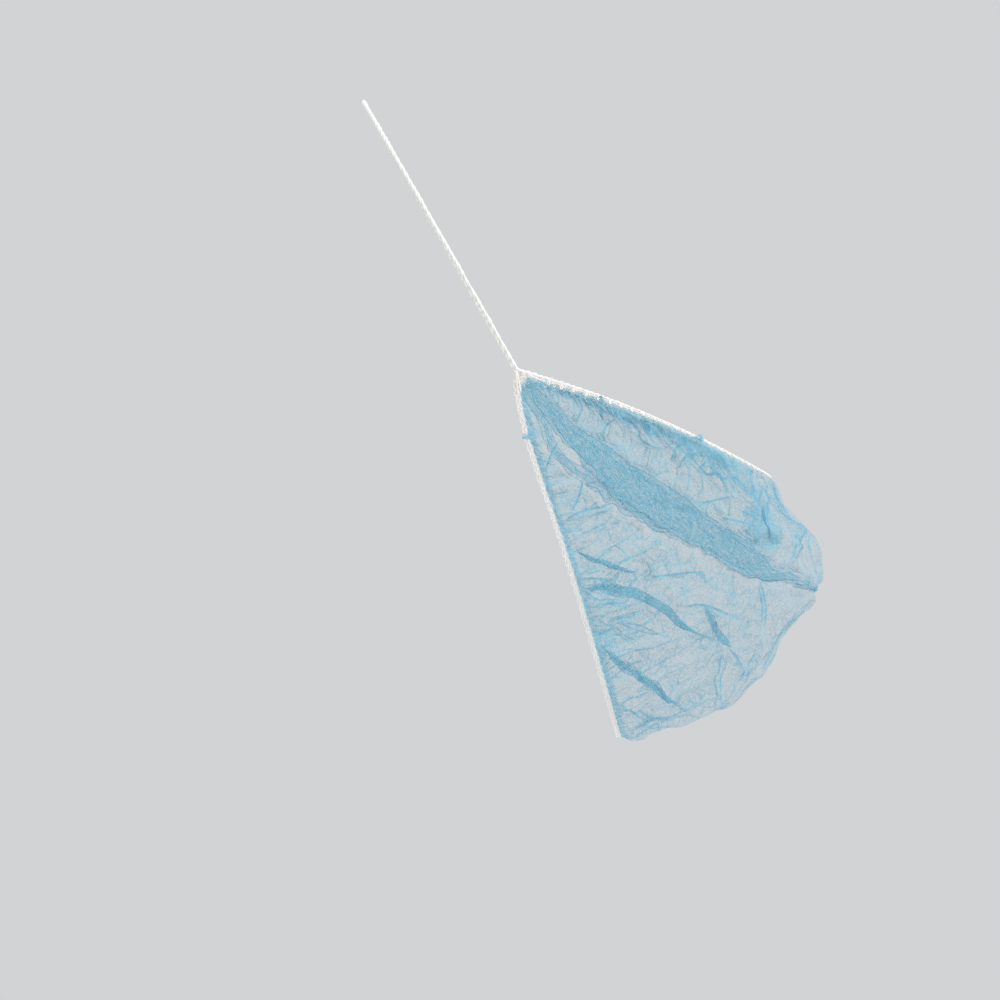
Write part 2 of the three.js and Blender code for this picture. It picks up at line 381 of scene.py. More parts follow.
# ---- materials ----
class Look:
    """A new material and its nodes."""

    def __init__(self, name):
        self.material = bpy.data.materials.new(name)
        self.material.use_nodes = True
        self.tree = self.material.node_tree

    def put(self, node, inputs):
        for key, value in inputs.items():
            if isinstance(value, bpy.types.NodeSocket):
                self.tree.links.new(value, node.inputs[key])
            else:
                node.inputs[key].default_value = value

    def finished(self, inputs):
        self.put(self.tree.nodes["Principled BSDF"], inputs)
        return self.material

    def node(self, kind, inputs, output=0, **settings):
        made = self.tree.nodes.new("ShaderNode" + kind)
        for key, value in settings.items():
            setattr(made, key, value)
        self.put(made, inputs)
        return made.outputs[output]

    def attribute(self, name, output="Fac"):
        return self.node("Attribute", {}, output, attribute_name=name)

    def place(self):
        return self.node("TexCoord", {}, "Object")

    def maths(self, operation, *values, clamp=False):
        return self.node("Math", dict(enumerate(values)), operation=operation, use_clamp=clamp)

    def times(self, a, b):
        return self.maths("MULTIPLY", a, b)

    def larger(self, a, b):
        return self.maths("MAXIMUM", a, b)

    def plus(self, a, share, b, clamp=False):
        """The share of a, added to b."""
        return self.maths("MULTIPLY_ADD", a, share, b, clamp=clamp)

    def vector(self, operation, a, b):
        return self.node("VectorMath", {0: a, 1: b}, operation=operation)

    def noise(self, place, scale, detail, output=0, dimensions="2D", **inputs):
        inputs = {"Vector": place, "Scale": scale, "Detail": detail, **inputs}
        return self.node("TexNoise", inputs, output, noise_dimensions=dimensions)

    def ranged(self, value, low, high, to_low=0.0, to_high=1.0, kind="LINEAR"):
        inputs = {"Value": value, 1: low, 2: high, 3: to_low, 4: to_high}
        return self.node("MapRange", inputs, interpolation_type=kind)

    def mixed(self, share, first, second):
        return self.node("Mix", {0: share, 6: first, 7: second}, 2, data_type="RGBA")

    def bump(self, height, strength, distance):
        return self.node("Bump", {"Height": height, "Strength": strength, "Distance": distance})

    def peak(self, value, scale):
        """1 where the value is 0, and near 0 once the value times the scale is past 2."""
        near = self.times(value, scale)
        return self.maths("EXPONENT", self.times(self.times(near, near), -1.0))

    def fibres(self, flat, degrees, across, length, low, high):
        """Long thin streaks in one direction of the flat cloth."""
        angle = math.radians(degrees)
        turned = self.node("VectorRotate", {"Vector": flat, "Angle": angle}, rotation_type="Z_AXIS")
        stretched = self.vector("MULTIPLY", turned, (1 / length, 1 / across, 1))
        return self.ranged(self.noise(stretched, 1.0, 1.0, Distortion=0.35), low, high, kind="SMOOTHSTEP")

    def fold_marks(self, name):
        """A crisp line along each crease, and the strip of cloth that is laid over on one side of it."""
        away = self.node("SeparateXYZ", {0: self.attribute(name, "Vector")})
        strength = away.node.outputs[1]
        over = self.maths("EXPONENT", self.times(away, -1 / LAID_OVER))
        over = self.times(over, self.maths("GREATER_THAN", away, 0.0))
        return self.times(self.peak(away, 1 / CREASE_LINE), strength), self.times(over, strength)

    def fine_creases(self, flat, cell, width, strength):
        """Thin crisp lines between random patches of the flat cloth, where a slow noise lets them show."""
        bend = self.noise(flat, 0.8 / cell, 2.0, output=1)
        moved = self.vector("ADD", flat, self.vector("MULTIPLY", bend, (1.1 * cell, 1.1 * cell, 0)))
        edge = self.node("TexVoronoi", {"Vector": moved, "Scale": 1 / cell}, "Distance",
                         feature="DISTANCE_TO_EDGE", voronoi_dimensions="2D")
        shown = self.ranged(self.noise(flat, 0.7 / cell, 1.0), 0.50, 0.64, 0.0, strength)
        return self.times(self.peak(edge, cell / width), shown)


def nonwoven_material():
    """Sheer spun-bond web: crossing fibres with open cells between them, denser where layers are bunched."""
    look = Look("nonwoven")
    flat = look.attribute("flat", "Vector")
    layers, pleated = look.attribute("layers"), look.attribute("pleated")
    crease, laid_over = map(look.larger, look.fold_marks("fold_line"), look.fold_marks("crease_line"))
    for cell, width, strength in FINE_CREASES:
        crease = look.larger(crease, look.fine_creases(flat, cell * MM, width * MM, strength))
    grain = look.times(look.fibres(flat, 0, 0.55 * MM, 12 * MM, 0.49, 0.58), pleated)
    for mark, extra_layers in ((laid_over, 1.6), (crease, 2.0), (grain, 6.0)):
        layers = look.plus(mark, extra_layers, layers)
    web = 0.0
    for degrees, across, length in WEB_STREAKS:
        web = look.larger(look.fibres(flat, degrees, across * MM, length * MM, 0.57, 0.70), web)
    cloud = look.noise(flat, 1 / (7 * MM), 3.0)
    cloudy = look.ranged(cloud, 0.3, 0.7, -0.05, 0.05)
    single = look.maths("ADD", look.plus(web, 0.35, 0.015), look.times(cloudy, web), clamp=True)
    seen_through = look.maths("POWER", look.maths("SUBTRACT", 1.0, single), layers)
    cover = look.maths("SUBTRACT", 1.0, seen_through, clamp=True)
    tone = look.plus(grain, -0.5, cloud, clamp=True)
    return look.finished({
        "Base Color": look.mixed(tone, BLUE["deep"], BLUE["light"]),
        "Alpha": look.plus(crease, 0.42, cover, clamp=True),
        "Normal": look.bump(web, 0.35, 0.15 * MM),
        "Roughness": 0.75,
        "Specular IOR Level": 0.3,
        "Sheen Weight": 0.25,
        "Sheen Roughness": 0.5,
    })


def thread_material(name, painted_shade, scale):
    """White textured yarn with painted shade: a slightly darker, warmer colour where the noise, and so the
    bump, is lowest, in the hollows between its filaments.
    """
    look = Look(name)
    noise = look.noise(look.place(), scale, 4.0, dimensions="3D")
    return look.finished({
        # Painted shade: the darker colour goes where the noise is low, and the bump below makes those places
        # the hollows.
        "Base Color": look.mixed(noise, painted_shade, YARN),
        "Normal": look.bump(noise, 0.5, 0.1 * MM),
        "Roughness": look.ranged(noise, 0.0, 1.0, 0.55, 0.8),
        "Sheen Weight": 0.3,
    })


# ---- the head loop: three plies twisted together ----
def cord_route():
    rise = math.hypot(EAR_AHEAD, EAR_BELOW)
    up = np.array([0, EAR_AHEAD, EAR_BELOW]) / rise
    middle = np.array([0, -EAR_AHEAD, -EAR_BELOW])
    turn = np.pi * np.arange(CORD_STEPS + 1) / CORD_STEPS
    height = np.sin(turn).clip(0) ** (2 / HEAD_SQUARENESS)
    across = np.sign(np.cos(turn)) * np.abs(np.cos(turn)) ** (2 / HEAD_SQUARENESS)
    half_width = lerp(EAR_ACROSS, HEAD_HALF_WIDTH, smoothstep(height, 0, 0.5))
    points = middle + up * lerp(CORD_END_ROOM, rise + CORD_RADIUS, height)[:, None]
    points[:, 0] = -across * half_width
    return points


def make_head_loop():
    rng = np.random.default_rng(11)
    points, distance = along(cord_route(), 0.5 * MM)
    tangent, side, other = carried_frames(points)
    plies, twist = 3, 10.5 * MM
    slack = wander(len(points), 40, rng)
    phase = 2 * math.pi * distance / twist + 0.9 * slack
    size = 1 + 0.10 * wander(len(points), 70, rng)
    parts = []
    for ply in range(plies):
        angle = phase + 2 * math.pi * ply / plies
        offset = side * np.cos(angle)[:, None] + other * np.sin(angle)[:, None]
        radius = 0.50 * MM * size * (1 + 0.08 * wander(len(points), 120, rng))
        parts.append(swept(points + offset * (0.38 * MM * size)[:, None], radius, 8))
    # The darker colour given here is the cord yarn's painted shade, for the hollows between its filaments.
    material = thread_material("cord_yarn", (0.84, 0.835, 0.81, 1), 900)
    cord = make_object("head_loop_cord", *joined(parts), material)
    declare(cord, "head_loop")
    route, _ = along(cord_route(), 8 * MM)
    tuple(points[0])
    [tuple(p) for p in route]


# ---- the pouch: its folded form ----
def section_knots(turn):
    """Angles where the section turns: edge, pleat bottom, pleat top, strip bottom, strip top, edge."""
    rng = np.random.default_rng(5)
    out = np.sin(turn)
    upper, lower = edge_angles(out)
    from_ear = out * PLEAT_REACH
    column = {key: from_table(from_ear / MM, PLEAT["from_ear"], values)
              for key, values in PLEAT.items() if key != "from_ear"}
    waves = [0.5 * wander(len(turn), 46, rng) + 0.35 * wander(len(turn), 120, rng) for _ in range(4)]
    left = smoothstep(-np.cos(turn), -0.1, 0.3)
    top = np.radians(column["top_angle"]) + (waves[0] + 1.2 * left) * MM / np.maximum(from_ear, 25 * MM)
    column["width"] = column["width"] * (1 - 0.18 * left)

    def angle_of(key, wave):
        return column[key] * (1 + 0.12 * wave) * MM / from_ear

    bottom = top + angle_of("width", waves[1])
    strip_top = bottom + angle_of("gap", waves[2])
    strip_bottom = strip_top + angle_of("strip", waves[3])
    shrink = np.minimum(1, 0.85 * (lower - top) / (strip_bottom - top))
    bottom, strip_top, strip_bottom = (top + (a - top) * shrink for a in (bottom, strip_top, strip_bottom))
    return [upper, bottom, top, strip_bottom, strip_top, lower]


def pleated_grid():
    """Turn, angle, layer offset and share in the fold of every point, with the pleat folded."""
    turn = turn_at(np.arange(COLUMNS + 1) / COLUMNS, CLOTH_START)
    knots = section_knots(turn)
    _, bottom, top, strip_bottom, _, _ = (knot[:, None] for knot in knots)
    millimetre = MM / (np.sin(turn)[:, None] * PLEAT_REACH)
    lift = PLEAT_LIFT
    angles, offsets, folds = [], [], []
    for k, rows in enumerate(SEGMENT_ROWS):
        last = k == len(SEGMENT_ROWS) - 1
        share = np.arange(rows + last) / rows
        angles.append(lerp(knots[k][:, None], knots[k + 1][:, None], share))
        here = angles[-1]
        folds.append(1 + 0 * here)
        if k == 0:
            folds[-1] = smoothstep(here, top - 4 * millimetre, top - millimetre)
            offsets.append(lift["front"] * smoothstep(here, top - 7 * millimetre, top - millimetre))
        elif k == 1:
            offsets.append(lerp(lift["front"], lift["top"], share) + 0 * here)
        elif k == 2:
            offsets.append(lerp(lift["top"], lift["between"], smoothstep(here, top, bottom))
                           + (lift["strip"] - lift["between"]) * smoothstep(here, bottom, strip_bottom))
        elif k == 3:
            offsets.append(lerp(lift["strip"], lift["strip_top"], share) + 0 * here)
        else:
            folds[-1] = 1 - smoothstep(here, strip_bottom + millimetre, strip_bottom + 4 * millimetre)
            flattened = smoothstep(here, strip_bottom, strip_bottom + 6 * millimetre)
            offsets.append(lift["strip_top"] * (1 - flattened))
    angle = np.concatenate(angles, axis=1)
    offset = np.concatenate(offsets, axis=1) * MM
    return turn[:, None] + 0 * angle, angle, offset, np.concatenate(folds, axis=1)


def row_of(turn, angle):
    upper, lower = edge_angles(np.sin(turn))
    return (angle - upper) / (lower - upper)


def flat_place(points):
    """Where each point lies in the flat cloth: along it from ear to ear, and down it."""
    nu, nv = points.shape[:2]
    along_cloth = summed(steps_of(points[:, nv // 2]))[:, None] * np.ones((1, nv))
    down_steps = np.linalg.norm(np.diff(points, axis=1), axis=2)
    down = np.concatenate([np.zeros((nu, 1)), np.cumsum(down_steps, axis=1)], axis=1)
    return along_cloth, down - down[:, -1:] / 2


def side_view(points):
    """Millimetres ahead of the ear corner and below it, as seen from the side."""
    return np.stack([-points[..., 1] - EAR_AHEAD, -points[..., 2] - EAR_BELOW], axis=-1) / MM


def smooth_line(points, steps):
    """A bent line with more points, so that it has no sharp corners."""
    points = np.asarray(points, float)
    ends = np.concatenate([2 * points[:1] - points[1:2], points, 2 * points[-1:] - points[-2:-1]])
    made = []
    for k in range(len(points) - 1):
        made.append(curve(*ends[k:k + 4], (np.arange(steps) / steps)[:, None]))
    return np.concatenate(made + [points[-1:]])


def on_cheek(line, side, steps):
    """A smooth line of the side view, as it runs on the right cheek (side -1) or the left one (side 1)."""
    line = smooth_line(line, steps)
    return line * FAR_CHEEK["scale"] + FAR_CHEEK["shift"] if side > 0 else line


def faded(share, full_until):
    """Fades a crease in at the start of its line and out towards the end."""
    return smoothstep(share, -0.02, 0.15) * (1 - smoothstep(share, full_until, 1.02))


def nearest_on_line(place, line):
    """Signed distance from a bent line (positive on its right), and how far along it, from 0 to 1."""
    lengths = steps_of(line)
    starts = summed(lengths)
    best = np.full(place.shape[:-1], np.inf)
    signed, share = np.zeros_like(best), np.zeros_like(best)
    for k, length in enumerate(lengths):
        direction = (line[k + 1] - line[k]) / length
        offset = place - line[k]
        t = offset @ direction
        if k > 0:
            t = np.maximum(t, 0)
        if k < len(lengths) - 1:
            t = np.minimum(t, length)
        distance = np.linalg.norm(offset - t[..., None] * direction, axis=-1)
        closer = distance < best
        side = np.sign(direction[0] * offset[..., 1] - direction[1] * offset[..., 0])
        best = np.where(closer, distance, best)
        signed = np.where(closer, side * distance, signed)
        share = np.where(closer, (starts[k] + t) / starts[-1], share)
    return signed, share


def tucked(points, out_axis, turn, from_rim, fold_lines):
    """Folds the cloth over itself along each named line, on both cheeks, and says where it turns back."""
    back = np.zeros_like(turn)
    for side in (-1, 1):
        on_side = smoothstep(side * -np.cos(turn), -0.05, 0.2)
        for salt, (line, width, lift) in enumerate(TUCKS):
            line = on_cheek(line, side, 6)
            signed, share = nearest_on_line(side_view(points), line)
            here = faded(share, 0.8) * on_side * smoothstep(from_rim, 0, 7 * MM)
            widest = smoothstep(share, -0.1, 0.5) * (1 - smoothstep(share, 0.5, 1.1))
            uneven = 0.75 + 0.5 * soft_noise(7 * share + 50, 0 * share, salt + 60)
            reach = width * (0.3 + 0.7 * widest) * uneven / TUCK["width_share"]
            signed = signed + 0.9 * (soft_noise(6 * share + 50, 0 * share, salt + 70) - 0.5)
            turning = TUCK["turning_share"] * reach
            pull = -TUCK["pull"] * signed * bell(signed, reach) * here
            rise = 0.5 - 0.5 * np.tanh(signed / turning)
            rise = rise * bell(np.minimum(signed, 0), 2 * reach) * here
            ahead, below = unit(line[-1] - line[0])
            across = np.array([0, below, -ahead])
            moved = across - (out_axis @ across)[..., None] * out_axis
            points = points + pull[..., None] * MM * moved
            points = points + (lift * rise)[..., None] * MM * out_axis
            for edge in (-turning, turning):
                fold_lines.add((signed - edge) * MM, 0.8 * here)
            back = np.maximum(back, here * (1 - smoothstep(np.abs(signed), turning - 0.2, turning + 0.4)))
    return points, back


# ---- the pouch: its gathers and creases ----
class FoldLines:
    """For every point of the cloth, how far to one side of the strongest nearby crease it lies."""

    def __init__(self, shape):
        self.away = np.full(shape, 9 * MM)
        self.strength, self.weight, self.rival = np.zeros(shape), np.zeros(shape), np.zeros(shape)

    def add(self, away, strength, span=slice(None)):
        weight = strength * bell(away, 1.6 * MM)
        better = weight > self.weight[span]
        self.rival[span] = np.where(better, self.weight[span], np.maximum(self.rival[span], weight))
        self.weight[span] = np.where(better, weight, self.weight[span])
        self.away[span] = np.where(better, away, self.away[span])
        self.strength[span] = np.where(better, strength, self.strength[span])

    def merge(self, other):
        self.add(other.away, other.strength)
        self.rival = np.maximum(self.rival, other.rival)

    def field(self, calm):
        """Distance and strength. Between two creases the strength is nothing, or a third would show."""
        alone = 1 - self.rival / np.maximum(self.weight, 1e-9)
        shown = self.strength * np.exp(-((self.away / (4 * MM)) ** 4)) * np.clip(1.5 * alone, 0, 1) * calm
        return np.stack([self.away / MM, np.clip(shown, 0, 1), 0 * shown], axis=-1).reshape(-1, 3)


def hashed(i, j, salt):
    """A random number from 0 to 1 for each whole-number place."""
    mixed = (i * 374761393 + j * 668265263 + salt * 2147483647) & 0xFFFFFFFF
    mixed = ((mixed ^ (mixed >> 13)) * 1274126177) & 0xFFFFFFFF
    return ((mixed ^ (mixed >> 16)) & 0xFFFFFF) / float(0xFFFFFF)


def soft_noise(x, y, salt):
    """Smooth random values from 0 to 1 with one bump for each unit."""
    i, j = np.floor(x).astype(np.int64), np.floor(y).astype(np.int64)
    s, t = smoothstep(x - i, 0, 1), smoothstep(y - j, 0, 1)
    low = lerp(hashed(i, j, salt), hashed(i + 1, j, salt), s)
    high = lerp(hashed(i, j + 1, salt), hashed(i + 1, j + 1, salt), s)
    return lerp(low, high, t)


def crease_net(x, y, salt):
    """Signed distance to the nearest border between random cells of one unit."""
    i, j = np.floor(x).astype(np.int64), np.floor(y).astype(np.int64)
    cells = [(i + di, j + dj) for di in range(-2, 3) for dj in range(-2, 3)]
    distance = np.stack([np.hypot(a + 0.9 * hashed(a, b, salt) - x, b + 0.9 * hashed(a, b, salt + 1) - y)
                         for a, b in cells])
    label = np.stack([hashed(a, b, salt + 2) for a, b in cells])
    order = np.argsort(distance, axis=0, kind="stable")[:2]
    nearest, second = np.take_along_axis(distance, order, axis=0)
    name, other = np.take_along_axis(label, order, axis=0)
    return np.where(name < other, 1, -1) * (second - nearest) / 2


def netted(along_cloth, down):
    """A net of creases at two sizes that wanders and fades in and out."""
    lines = FoldLines(down.shape)
    height = np.zeros_like(down)
    for cell, rise, salt in ((15 * MM, 1.1, 3), (7.5 * MM, 0.5, 17)):
        x, y = along_cloth / cell, down / cell + 40
        bent_x = x + 0.9 * (soft_noise(1.3 * x, 1.3 * y, salt + 5) - 0.5)
        bent_y = y + 0.9 * (soft_noise(1.3 * x, 1.3 * y, salt + 6) - 0.5)
        away = crease_net(bent_x, bent_y, salt) * cell
        strength = smoothstep(soft_noise(0.9 * x, 0.9 * y, salt + 7), 0.35, 0.75)
        side = np.where(soft_noise(0.35 * x, 0.35 * y, salt + 8) > 0.42, 1.0, -1.0)
        height += side * rise * MM * strength * np.exp(-np.abs(away) / (0.16 * cell))
        lines.add(away, 0.5 * strength)
    return height, lines


def gathers(from_edge, room, rng, first_wave, octaves, steepness):
    """Small waves square to an edge that run together into fewer and bigger ones away from it."""
    count = from_edge.shape[0]
    total = np.zeros_like(from_edge)
    lines = FoldLines(from_edge.shape)
    length = 0.30
    for k in range(octaves):
        wave = first_wave * 2**k
        turns = length / wave
        drift = 0.35 * wander(count, max(4, int(turns / 2)), rng)
        phase = 2 * math.pi * (np.linspace(0, turns, count) + drift)
        height = 1 + 0.6 * wander(count, max(4, int(turns / 3)), rng)
        slant = 0.12 * wander(count, 12, rng)[:, None] * from_edge / wave * 2 * math.pi
        swing = np.sin((phase[:, None] + slant) / 2)
        near = smoothstep(from_edge, 0.1 * wave, 0.7 * wave)
        near = near * (1 - smoothstep(from_edge, 2.0 * wave, 4.2 * wave))
        near = near * smoothstep(room, 1.2 * wave, 5 * wave)
        total += steepness * wave * height[:, None] * (1.0 - 2.0 * np.abs(swing)) * near
        lines.add(swing * wave / math.pi, 0.8 * near)
    return total, lines


def crease_lines(rng, along_cloth, down):
    """Bent lines in the flat cloth that creases follow: most start at an edge, and some branch."""
    length = along_cloth.max()
    half = down.max()
    lines = []

    def grow(start, heading, reach, strength, depth):
        points = [np.array(start)]
        steps = max(2, int(reach / (5 * MM)))
        for _ in range(steps):
            heading += rng.normal(0, 0.22)
            points.append(points[-1] + reach / steps * np.array([math.cos(heading), math.sin(heading)]))
        lines.append((np.array(points), strength * rng.choice([1, 1, -1]), rng.uniform(1.5, 4.5) * MM))
        if depth > 0:
            for _ in range(rng.integers(1, 4)):
                at = points[rng.integers(1, len(points))]
                turned = heading + rng.choice([-1, 1]) * rng.uniform(0.5, 1.2)
                grow(at, turned, reach * rng.uniform(0.35, 0.7), strength * 0.65, depth - 1)

    def half_width(x):
        return down[np.argmin(np.abs(along_cloth[:, 0] - x)), -1]

    for edge, heading in (("upper", math.pi / 2), ("lower", -math.pi / 2)):
        for _ in range(CREASES[edge]):
            x = rng.uniform(0.06, 0.94) * length
            y = -math.copysign(half_width(x) - 2 * MM, heading)
            grow((x, y), heading + rng.normal(0, 0.45), rng.uniform(8, 28) * MM, rng.uniform(0.4, 1.4), 1)
    for _ in range(CREASES["ear"]):
        from_ear = rng.uniform(10, 40) * MM
        spread = rng.uniform(-0.8, 0.8)
        x, heading = rng.choice([(from_ear, 0.6 * spread), (length - from_ear, math.pi - 0.6 * spread)])
        grow((x, spread * half_width(x)), heading, rng.uniform(15, 45) * MM, rng.uniform(0.4, 1.1), 1)
    for _ in range(CREASES["middle"]):
        start = (rng.uniform(0.12, 0.88) * length, rng.uniform(-0.8, 0.8) * half)
        grow(start, rng.uniform(0, 2 * math.pi), rng.uniform(7, 28) * MM, rng.uniform(0.4, 1.3), 1)
    return lines


def ridged(points, turn, from_rim):
    """The height of the named creases on both cheeks, and where they run."""
    height, lines = np.zeros_like(turn), FoldLines(turn.shape)
    place = side_view(points)
    for side in (-1, 1):
        on_side = smoothstep(side * -np.cos(turn), -0.02, 0.1)
        for line, rise in RIDGES:
            signed, share = nearest_on_line(place, on_cheek(line, side, 3))
            here = faded(share, 0.6) * on_side * smoothstep(from_rim, 0, 4 * MM)
            height = np.maximum(height, rise * MM * np.exp(-np.abs(signed) / 2.6) * here)
            lines.add(signed * MM, here)
    return height, lines


def creased(along_cloth, down, lines):
    """Height of all creases together, and where they run."""
    outward, inward = np.zeros_like(down), np.zeros_like(down)
    fold_lines = FoldLines(down.shape)
    place = np.stack([along_cloth, down], axis=-1)
    for line, strength, width in lines:
        low, high = line.min(axis=0) - 4 * width, line.max(axis=0) + 4 * width
        columns = np.flatnonzero((along_cloth[:, 0] > low[0]) & (along_cloth[:, 0] < high[0]))
        if not len(columns):
            continue
        span = slice(columns[0], columns[-1] + 1)
        signed, share = nearest_on_line(place[span], line)
        here = faded(share, 0.4)
        kept = outward if strength > 0 else inward
        kept[span] = np.maximum(kept[span], abs(strength) * MM * np.exp(-np.abs(signed) / width) * here)
        fold_lines.add(signed, min(1, abs(strength)) * here, span)
    return outward - inward, fold_lines


# ---- the pouch: the cloth settles ----
def pairs(shape, du, dv):
    """Every point and its neighbour du columns and dv rows on, in groups that share no point."""
    nu, nv = shape
    low, high = max(0, -dv), nv - max(0, dv)
    if du:
        for start in range(2 * du):
            stop = nu - du
            if start < stop:
                yield ((slice(start, stop, 2 * du), slice(low, high)),
                       (slice(start + du, nu, 2 * du), slice(low + dv, high + dv)))
    else:
        for start in range(2 * dv):
            yield ((slice(None), slice(start, nv - dv, 2 * dv)),
                   (slice(None), slice(start + dv, nv, 2 * dv)))


def settle(points, target, out_axis, pinned, ranges, stiff, level):
    """Lets the cloth find its shape when every thread of it is a little too long for the room it has."""
    place = np.ascontiguousarray(np.moveaxis(points, 2, 0)).astype(np.float32)
    goal = np.moveaxis(target, 2, 0).astype(np.float32)
    axis = np.moveaxis(out_axis, 2, 0).astype(np.float32)
    inward, outward, sideways = (r.astype(np.float32) for r in ranges)
    free = np.where(pinned, 0, 1).astype(np.float32)
    springs = []
    kinds = [(1, 0, 1.0), (0, 1, 1.0), (1, 1, 0.5), (1, -1, 0.5), (2, 0, None), (0, 2, None)]
    for du, dv, strength in kinds:
        for a, b in pairs(place.shape[1:], du, dv):
            near, far = (slice(None), *a), (slice(None), *b)
            rest = np.sqrt(((place[far] - place[near]) ** 2).sum(axis=0)) * (1 + level["spare"])
            if du == 2 or dv == 2:
                strength = level["bend"] * np.minimum(stiff[a], stiff[b])
            share_a = free[a] / np.maximum(free[a] + free[b], 0.5)
            share_b = free[b] / np.maximum(free[a] + free[b], 0.5)
            springs.append((near, far, rest, strength * share_a, strength * share_b))
    for _ in range(level["rounds"]):
        for near, far, rest, share_a, share_b in springs:
            gap = place[far] - place[near]
            length = np.sqrt((gap**2).sum(axis=0))
            gap *= (length - rest) / np.maximum(length, 1e-7)
            place[near] += share_a * gap
            place[far] -= share_b * gap
        away = place - goal
        rise = (away * axis).sum(axis=0)
        away -= rise * axis
        slip = np.sqrt((away**2).sum(axis=0))
        away *= np.minimum(1, sideways / np.maximum(slip, 1e-7))
        settled = goal + away + np.clip(rise, -inward, outward) * axis
        place = np.where(pinned, place, settled)
    return np.moveaxis(place, 0, 2).astype(float)


def spread_out(coarse, stride, shape):
    """Values on every stride-th row and column, with the ones in between filled in smoothly."""
    for axis in (0, 1):
        size = shape[axis]
        at = np.arange(size) / stride
        k = np.minimum(at.astype(int), coarse.shape[axis] - 2)
        s = (at - k).reshape([-1 if a == axis else 1 for a in range(coarse.ndim)])
        last = coarse.shape[axis] - 1
        coarse = curve(*(np.take(coarse, np.clip(k + j, 0, last), axis=axis) for j in (-1, 0, 1, 2)), s)
    return coarse


def least_of(values, stride):
    """The least value in each block of the grid, one for every stride-th row and column."""
    if stride == 1:
        return values
    edge = stride // 2
    wide = np.pad(values, ((edge, edge), (edge, edge)), mode="edge")
    size = [(n - 1) // stride + 1 for n in values.shape]
    least = np.full(size, np.inf)
    for i in range(stride):
        for j in range(stride):
            block = wide[i:, j:][::stride, ::stride]
            least = np.minimum(least, block[:size[0], :size[1]])
    return least


def settled_cloth(points, target, out_axis, ranges, stiff):
    pinned = np.zeros(points.shape[:2], bool)
    pinned[:, [0, -1]] = True
    pinned[[0, -1]] = True
    for level in LEVELS:
        stride = level["stride"]
        every = (slice(None, None, stride), slice(None, None, stride))
        before, limits = points[every], [r[every] for r in ranges]
        hinges = least_of(stiff, stride).astype(np.float32)
        change = settle(before, target[every], out_axis[every], pinned[every], limits, hinges, level) - before
        points = points + (spread_out(change, stride, points.shape[:2]) if stride > 1 else change)
        points = np.where(pinned[..., None], target, points)
    return points


def bunches(points, turn):
    """Extra layers where the cloth is crushed together in a soft patch, mostly on the right cheek."""
    extra = np.zeros_like(turn)
    place = side_view(points)
    for ahead, below, across, along_patch, degrees, most in BUNCHES:
        axis = np.array([math.cos(math.radians(degrees)), math.sin(math.radians(degrees))])
        offset = place - [ahead, below]
        one, other = offset @ axis, offset @ [-axis[1], axis[0]]
        ragged = 1 + 0.5 * (soft_noise(*np.moveaxis(0.35 * place + 40, 2, 0), 33) - 0.5)
        far = np.hypot(one / along_patch, other / across) * ragged
        extra += most * (1 - smoothstep(far, 0.75, 1.15))
    near_cheek, far_cheek = smoothstep(np.cos(turn), 0, 0.15), smoothstep(-np.cos(turn), 0, 0.15)
    return extra * (near_cheek + 0.4 * far_cheek)


def tufted(points, turn, from_upper, from_lower):
    """The push that makes the small tufts of cloth past the edges, and where those tufts are."""
    ahead, below = np.moveaxis(side_view(points), 2, 0)
    push, place = np.zeros_like(points), np.zeros_like(turn)
    for edge, at, half_width, out, direction in TUFTS:
        along_edge, from_edge = (ahead, from_upper) if edge == "upper" else (below, from_lower)
        near = bell(along_edge - at, half_width) * (np.cos(turn) > 0)
        pushed = out * MM * near * (1 - smoothstep(from_edge, 0, 5 * MM))
        push += pushed[..., None] * np.array(direction)
        place += near * (1 - smoothstep(from_edge, 2 * MM, 6 * MM))
    return push, place


def add_values(made, name, values):
    kind = "FLOAT_VECTOR" if values.ndim == 2 else "FLOAT"
    field = made.data.attributes.new(name, kind, "POINT")
    field.data.foreach_set("vector" if values.ndim == 2 else "value", values.astype(np.float32).ravel())


def gathered(cloth, edge, rng):
    """The waves at one edge and their lines. Both are weaker at the front."""
    ripple, lines = gathers(cloth.from_edge[edge], cloth.room, rng, *GATHERS[edge])
    lines.strength *= 1 - {"upper": 0.6, "lower": 0.5}[edge] * cloth.at_front
    return ripple * (1 - {"upper": 0.75, "lower": 0.0}[edge] * cloth.at_front), lines


def relief_of(cloth, target, from_rim, fold_lines, rng):
    """How far creases, gathers and slow waves lift the cloth, and the lines of its random creases."""
    height, random_lines = creased(cloth.along, cloth.down, crease_lines(rng, cloth.along, cloth.down))
    net_height, net_lines = netted(cloth.along, cloth.down)
    named_height, named_lines = ridged(target, cloth.turn, from_rim)
    upper_ripple, upper_lines = gathered(cloth, "upper", rng)
    lower_ripple, lower_lines = gathered(cloth, "lower", rng)
    fold_lines.merge(named_lines)
    for other in (net_lines, upper_lines, lower_lines):
        random_lines.merge(other)
    above_pleat = 1 - smoothstep(np.degrees(cloth.angle), 38, 46)
    random_lines.strength *= 1 - cloth.at_front * lerp(0.0, 0.6, above_pleat)
    for k in np.cumsum(SEGMENT_ROWS)[:-1]:
        fold_lines.add(cloth.down - cloth.down[:, k:k + 1], PLEAT_LINE)
    relief = (height + net_height) * cloth.calm + named_height + upper_ripple + lower_ripple
    across, downward = -EAR_ACROSS * np.cos(cloth.turn), np.sin(cloth.turn) * cloth.angle * 0.15
    slow = soft_noise(across / (20 * MM) + 30, downward / (20 * MM) + 30, 91) - 0.5
    return relief * (1 - 0.92 * cloth.in_pleat) + 1.6 * MM * slow * cloth.calm, random_lines


